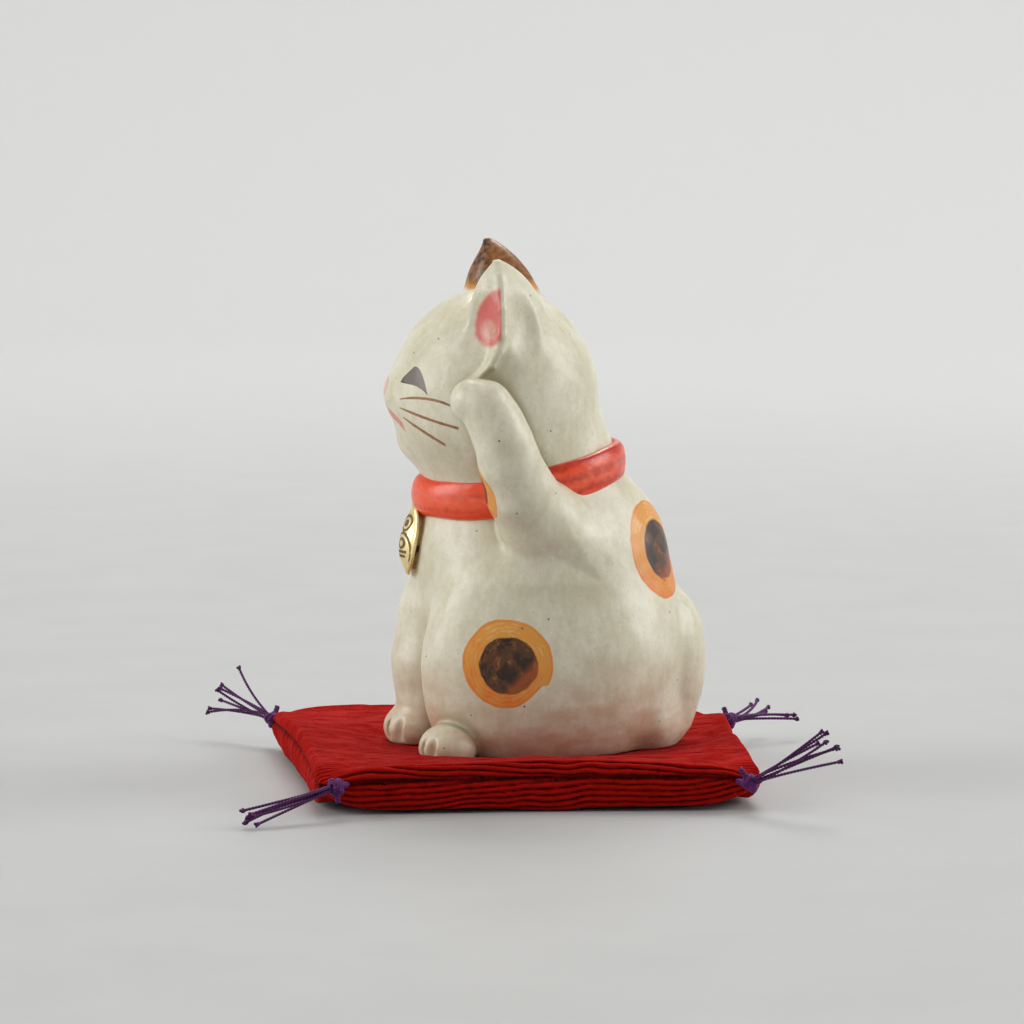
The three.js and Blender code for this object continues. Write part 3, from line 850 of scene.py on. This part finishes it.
def pillow_start(count):
    """The stuffed cushion before it swells: top and bottom panels as grids, x first."""
    tips = cushion_tips()
    run, rise = across_panel(count)
    u, v = (run[:, None] + 1) / 2, (run[None, :] + 1) / 2
    plan = (
        ((1 - u) * (1 - v))[..., None] * tips["front_right"]
        + (u * (1 - v))[..., None] * tips["front_left"]
        + ((1 - u) * v)[..., None] * tips["back_right"]
        + (u * v)[..., None] * tips["back_left"]
    )
    gap = np.min([np.linalg.norm(plan - tip, axis=-1) for tip in tips.values()], axis=0)
    plan = plan * (1 - 0.018 * np.exp(-((gap / 3.5) ** 2)))[..., None]
    middling = np.cos(run * 1.5) ** 0.5
    waist = np.stack([np.abs(run)[:, None] * middling, np.abs(run) * middling[:, None]], axis=-1)
    plan = plan - np.sign(plan) * WAIST * waist**4
    full = rise[:, None] * rise[None, :] * (1 - np.exp(-((gap / PINCH) ** 1.3)))
    crown = 1 - 0.34 * np.exp(-((gap / 15) ** 1.3))
    seam = SEAM_HEIGHT + 0.8 * (1 - np.exp(-((gap / 12) ** 2)))
    top = np.concatenate([plan, (seam + (CREST - seam) * full * crown)[..., None]], axis=-1)
    bottom = np.concatenate([plan, (seam - (seam + 0.3) * full)[..., None]], axis=-1)
    return top, bottom


def panel_mesh(top, bottom):
    """Both panels' points and quads, sharing the points along the seam."""
    rows, columns = top.shape[:2]
    inside = np.zeros((rows, columns), bool)
    inside[1:-1, 1:-1] = True
    index = np.arange(rows * columns).reshape(rows, columns)
    under = index.copy()
    under[inside] = rows * columns + np.arange(inside.sum())
    faces = sheet_faces(rows, columns)
    points = np.concatenate([top.reshape(-1, top.shape[-1]), bottom[inside]])
    return points, np.concatenate([faces, under.ravel()[faces][:, ::-1]]), under


def swell(top, bottom, cap):
    """The panels after a cloth simulation blows them out, no point moved further than cap."""
    points, faces, under = panel_mesh(top, bottom)
    enlarged = 10 * MM  # cloth settles well at the size of a seat pad
    mesh = bpy.data.meshes.new("swelling")
    mesh.from_pydata((points * enlarged).tolist(), [], faces.tolist())
    balloon = add_object("swelling", mesh)
    scene = bpy.context.scene
    settings = balloon.modifiers.new("cloth", "CLOTH").settings
    settings.quality = 8
    settings.use_pressure = True
    settings.uniform_pressure_force = 4
    settings.effector_weights.gravity = 0
    settings.shrink_min = -0.05
    for step in range(1, 21):
        scene.frame_set(step)
    shape = balloon.evaluated_get(bpy.context.evaluated_depsgraph_get()).to_mesh()
    moved = np.empty(len(points) * 3)
    shape.vertices.foreach_get("co", moved)
    moved = moved.reshape(-1, 3) / enlarged - points
    scene.frame_set(1)
    bpy.data.objects.remove(balloon)
    length = np.linalg.norm(moved, axis=1, keepdims=True)
    points = points + moved * np.minimum(1, cap / np.maximum(length, 1e-6))
    return points[: top[..., 0].size].reshape(top.shape), points[under.ravel()].reshape(bottom.shape)


def curve_weights(coarse, fine):
    """Weights of a smooth curve through evenly spaced points, at more places along it."""
    t = np.linspace(0, coarse - 1, fine)
    i = np.minimum(t.astype(int), coarse - 2)
    f = t - i
    weights = np.zeros((fine, coarse))
    shares = (
        (-f + 2 * f**2 - f**3) / 2,
        (2 - 5 * f**2 + 3 * f**3) / 2,
        (f + 4 * f**2 - 3 * f**3) / 2,
        (-(f**2) + f**3) / 2,
    )
    for shift, share in zip((-1, 0, 1, 2), shares):
        np.add.at(weights, (np.arange(fine), np.clip(i + shift, 0, coarse - 1)), share)
    return weights


def lengths_from_middle(panel, axis):
    """Length along the cloth from the middle of the panel, and to the nearer seam."""
    steps = np.linalg.norm(np.diff(panel, axis=axis), axis=-1)
    zero = np.zeros_like(np.take(steps, [0], axis=axis))
    total = np.cumsum(np.concatenate([zero, steps], axis=axis), axis=axis)
    whole = np.take(total, [-1], axis=axis)
    return total - whole / 2, np.minimum(total, whole - total)


def crepe(panel, sign, seed):
    """A panel with its crepe ridges raised, how high each point lies on them, and its place on the cloth."""
    along_x, seam_x = lengths_from_middle(panel, 0)
    along_y, seam_y = lengths_from_middle(panel, 1)
    seam = np.minimum(seam_x, seam_y)
    gradient_x, gradient_y = np.gradient(panel, axis=0), np.gradient(panel, axis=1)
    outward = unit(np.cross(gradient_x, gradient_y)) * sign
    wander = 0.42 * rumple(along_x, along_y, 7, 9, seed) + 0.2 * rumple(along_x, along_y, 3, 4, seed + 1)
    phase = along_x / RIDGE + wander
    profile = np.abs(np.sin(math.pi * phase)) ** 0.75
    side = np.exp(-((np.maximum(seam_x - 4.5, 0) / 3.0) ** 2))
    dashes = np.clip(0.45 + 1.1 * rumple(along_x, along_y, 1.5, 3.6, seed + 2), 0, 1)
    strength = side + (1 - side) * (0.1 + 0.85 * dashes)
    fade = 1 - np.exp(-((seam / 0.7) ** 2))
    sunk = np.exp(-((seam / 0.55) ** 2))
    height = 0.66 * strength * (profile - 0.7) * fade - 0.6 * sunk
    height = height + 0.25 * rumple(along_x, along_y, 8, 11, seed + 3) * fade
    # how high each point lies on the ridges, lowered along the seams; it sets the cloth's painted shade
    relief = (1 - strength * (1 - profile)) * (1 - 0.7 * sunk)
    cloth = np.stack([along_x, along_y, np.zeros_like(along_x)], axis=-1)
    return np.concatenate([panel + outward * height[..., None], relief[..., None], cloth], axis=-1)


def make_cushion():
    coarse, fine_x, fine_y = 49, 361, 121
    top, bottom = swell(*pillow_start(coarse), cap=2.0)
    x, y = top[..., 0], top[..., 1]
    away = np.sqrt((x / 27) ** 2 + ((y - 4) / 34) ** 2)
    press = np.clip((away - 0.78) / 0.5, 0, 1)
    press = press * press * (3 - 2 * press)
    top[..., 2] = np.minimum(top[..., 2], CREST + 0.4)
    top[..., 2] = top[..., 2] * press + np.minimum(top[..., 2], SEAT - 0.2) * (1 - press)
    bottom[..., 2] = np.maximum(bottom[..., 2], -0.3)

    weights_x, weights_y = curve_weights(coarse, fine_x), curve_weights(coarse, fine_y)
    fine = [np.einsum("ai,bj,ijk->abk", weights_x, weights_y, panel) for panel in (top, bottom)]
    top, bottom = crepe(fine[0], 1, 3), crepe(fine[1], -1, 11)
    points, faces, _ = panel_mesh(top, bottom)
    vertices, relief, cloth = points[:, :3], points[:, 3], points[:, 4:]
    near = (np.abs(vertices[:, 0]) < 36) & (np.abs(vertices[:, 1] - 4) < 42) & (vertices[:, 2] > 5)
    for _ in range(4):
        clearance = cat(vertices[near])
        vertices[near, 2] -= np.maximum(0.3 - clearance, 0)
    vertices[:, 2] = np.maximum(vertices[:, 2], 0.05)
    cushion = make_object("crepe_cushion", vertices, faces, crepe_material(), relief=relief, cloth=cloth)
    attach(cushion, "cushion")
    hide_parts("cushion_top_cover", "cushion_bottom_cover", "cushion_filling")


# ---------------------------------------------------------------- tassels

# where each strand ends, in millimetres from the middle of its knot
STRAND_TIPS = {
    "front_left": (
        (10.2, -18.9, -2.8),
        (11.9, -17.4, -3.3),
        (12.4, -16.9, -3.6),
        (11.5, -18.4, -5.0),
        (12.6, -16.2, -5.2),
        (10.6, -17.2, -3.7),
        (9.4, -17.9, -4.4),
    ),
    "back_left": (
        (12.5, 12.3, 12.0),
        (11.9, 13.4, 11.6),
        (12.8, 13.1, 10.0),
        (11.6, 11.7, 9.5),
        (12.4, 15.3, 8.9),
        (12.6, 16.1, 6.0),
        (11.2, 15.7, 8.4),
    ),
    "front_right": (
        (-14.8, -6.9, 9.4),
        (-14.7, -10.7, 5.6),
        (-14.0, -11.7, 4.6),
        (-13.0, -11.1, 5.0),
        (-15.0, -10.9, 2.2),
        (-13.2, -13.5, 0.6),
        (-12.4, -13.9, -0.2),
    ),
    "back_right": (
        (-17.5, 8.7, 1.8),
        (-17.1, 7.3, 0.9),
        (-16.5, 11.1, 0.4),
        (-10.9, 16.1, -0.6),
        (-9.1, 16.5, -1.2),
        (-15.1, 10.3, -0.4),
        (-12.3, 14.7, -0.9),
    ),
}
# which way the short cut end of each knot sticks out
KNOT_TAILS = {
    "front_left": (0.6, 0.4, -3.0),
    "back_left": (0.8, -2.2, 2.9),
    "front_right": (-1.2, 1.0, 2.6),
    "back_right": (-1.0, -0.8, 2.6),
}


def twisted_cord(path, ply, offset, plies, pitch, sides=7, swell=None):
    """Plies of radius ply twisted round a path, with how far out each point lies."""
    path = np.asarray(path, float)
    forward = unit(np.gradient(path, axis=0))
    level = unit(np.cross(forward, [0.13, 0.21, 1.0]))
    upward = np.cross(level, forward)
    length = np.concatenate([[0], np.cumsum(np.linalg.norm(np.diff(path, axis=0), axis=1))])
    size = np.ones(len(path)) if swell is None else swell(length / length[-1])
    around = np.linspace(0, 2 * math.pi, sides, endpoint=False)
    points, faces, outer = [], [], []
    for number in range(plies):
        turn = 2 * math.pi * (length / pitch + number / plies)
        lean = np.cos(turn)[:, None] * level + np.sin(turn)[:, None] * upward
        centre = path + lean * (offset * size)[:, None]
        ahead = unit(np.gradient(centre, axis=0))
        a = unit(np.cross(ahead, upward + 0.3 * level))
        b = np.cross(ahead, a)
        ring = np.cos(around)[:, None] * a[:, None] + np.sin(around)[:, None] * b[:, None]
        shell = centre[:, None] + ring * (ply * size)[:, None, None]
        first = sum(len(group) for group in points)
        points.append(shell.reshape(-1, 3))
        reach = np.linalg.norm(shell - path[:, None], axis=-1) / ((ply + offset) * size)[:, None]
        outer.append(reach.ravel())
        faces += (sheet_faces(len(path), sides, wrap=True) + first).tolist()
        faces.append([first + k for k in range(sides)][::-1])
        faces.append([first + (len(path) - 1) * sides + k for k in range(sides)])
    return np.concatenate(points), faces, np.concatenate(outer)


def gather(parts):
    """Several meshes as one."""
    points, faces, outer = [], [], []
    total = 0
    for part_points, part_faces, part_outer in parts:
        points.append(part_points)
        faces += [[index + total for index in face] for face in part_faces]
        outer.append(part_outer)
        total += len(part_points)
    return np.concatenate(points), faces, np.concatenate(outer)


def bent(start, way, end, count):
    """Points along a curve that leaves start towards way and arrives at end."""
    t = np.linspace(0, 1, count)[:, None]
    return (1 - t) ** 2 * start + 2 * t * (1 - t) * way + t**2 * end


def make_tassels():
    silk = cord_material()
    bead = 0.75  # how much thicker each strand's tied end is

    def tied_end(share):
        return 1 + bead * np.clip((share - 0.95) / 0.02, 0, 1)

    for corner in CORNERS:
        centre = middle(corner + "_tassel_knot")
        tips = np.array(STRAND_TIPS[corner])
        heading = unit(tips.mean(axis=0))
        sideways = unit(np.cross(heading, [0, 0, 1]))
        upright = np.cross(sideways, heading)
        t = np.linspace(0, 2 * math.pi, 220)
        loops = 0.4 * np.stack(
            [np.sin(t) + 2 * np.sin(2 * t), np.cos(t) - 2 * np.cos(2 * t), -1.15 * np.sin(3 * t)], axis=1
        )
        loops = centre + loops @ np.stack([sideways, upright, heading])
        inward = centre - unit(np.array([centre[0], centre[1], 0])) * 3.4
        tail = np.array(KNOT_TAILS[corner])
        parts = [
            twisted_cord(loops, 0.5, 0.44, 3, 3.0, 9),
            twisted_cord(bent(inward, centre - heading * 1.5, centre, 30), 0.36, 0.34, 3, 2.4),
            twisted_cord(bent(centre, centre + tail * 0.6, centre + tail, 30), 0.3, 0.28, 3, 2.0),
        ]
        points, faces, outer = gather(parts)
        knot = make_object(corner + "_knot", points, faces, silk, groove=outer)
        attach(knot, "cushion")
        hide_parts(corner + "_tassel_knot")

        strands = []
        for number, tip in enumerate(tips):
            spread = 0.55 * (math.cos(2.4 * number) * sideways + math.sin(2.4 * number) * upright)
            start = centre + heading * 1.3 + spread
            way = start + heading * 9 + spread * 0.6 + (tip - heading * (tip @ heading)) * 0.28
            path = bent(start, way, centre + tip, 150)
            strands.append(twisted_cord(path, 0.17, 0.15, 2, 1.5, 6, tied_end))
        points, faces, outer = gather(strands)
        tassel = make_object(corner + "_strands", points, faces, silk, groove=outer)
        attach(tassel, corner + "_tassel")
        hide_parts(*(f"{corner}_strand_{number}" for number in range(1, 8)))


# ---------------------------------------------------------------- studio


def make_studio():
    """A pale floor that curves up all round, an even sky and three large soft lamps."""
    rings, around = 40, 96
    level_out_to, steepness = 1.3, 0.7
    radius = np.linspace(0.02, 3.4, rings)
    turn = np.linspace(0, 2 * math.pi, around, endpoint=False)
    rise = steepness * np.maximum(radius - level_out_to, 0) ** 2
    height = np.repeat(rise[:, None], around, axis=1)
    shell = np.stack([radius[:, None] * np.cos(turn), radius[:, None] * np.sin(turn), height], axis=-1)
    floor_mesh = bpy.data.meshes.new("floor")
    faces = sheet_faces(rings, around, wrap=True).tolist() + [list(range(around))]
    floor_mesh.from_pydata(shell.reshape(-1, 3).tolist(), [], faces)
    floor_mesh.shade_smooth()
    floor_mesh.materials.append(floor_material())
    floor = add_object("floor", floor_mesh)
    world = bpy.data.worlds.new("studio")
    bpy.context.scene.world = world
    world.use_nodes = True
    world.node_tree.nodes["Background"].inputs["Color"].default_value = (0.56, 0.563, 0.558, 1)
    lamp((-1.3, 0.3, 1.7), 1.2, 24.0)
    lamp((0.05, -1.75, 0.8), 1.2, 21.0)
    lamp((0.05, 1.85, 0.9), 1.2, 23.0)


def lamp(place, size, power):
    """A soft square light aimed at the figure."""
    data = bpy.data.lights.new("lamp", "AREA")
    data.energy = power
    data.size = size
    light = add_object("lamp", data)
    light.location = place
    light.rotation_mode = "QUATERNION"
    light.rotation_quaternion = (Vector(place) - Vector((0, 0, 0.05))).to_track_quat("Z", "Y")


def make_camera():
    azimuth, elevation = math.radians(85), math.radians(6)
    distance = 1.0
    target = Vector((0, -0.002, 0.055))
    level = math.cos(elevation)
    back = Vector((math.sin(azimuth) * level, -math.cos(azimuth) * level, math.sin(elevation)))
    data = bpy.data.cameras.new("camera")
    data.sensor_width = 36
    data.lens = 172.27
    camera = add_object("camera", data)
    camera.location = target + distance * back
    camera.rotation_mode = "QUATERNION"
    camera.rotation_quaternion = (-back).to_track_quat("-Z", "Y")
    bpy.context.scene.camera = camera


bpy.context.scene.view_settings.view_transform = "Standard"
make_camera()
make_studio()
make_figure()
make_collar()
make_coin()
make_cushion()
make_tassels()

bpy.context.view_layer.update()
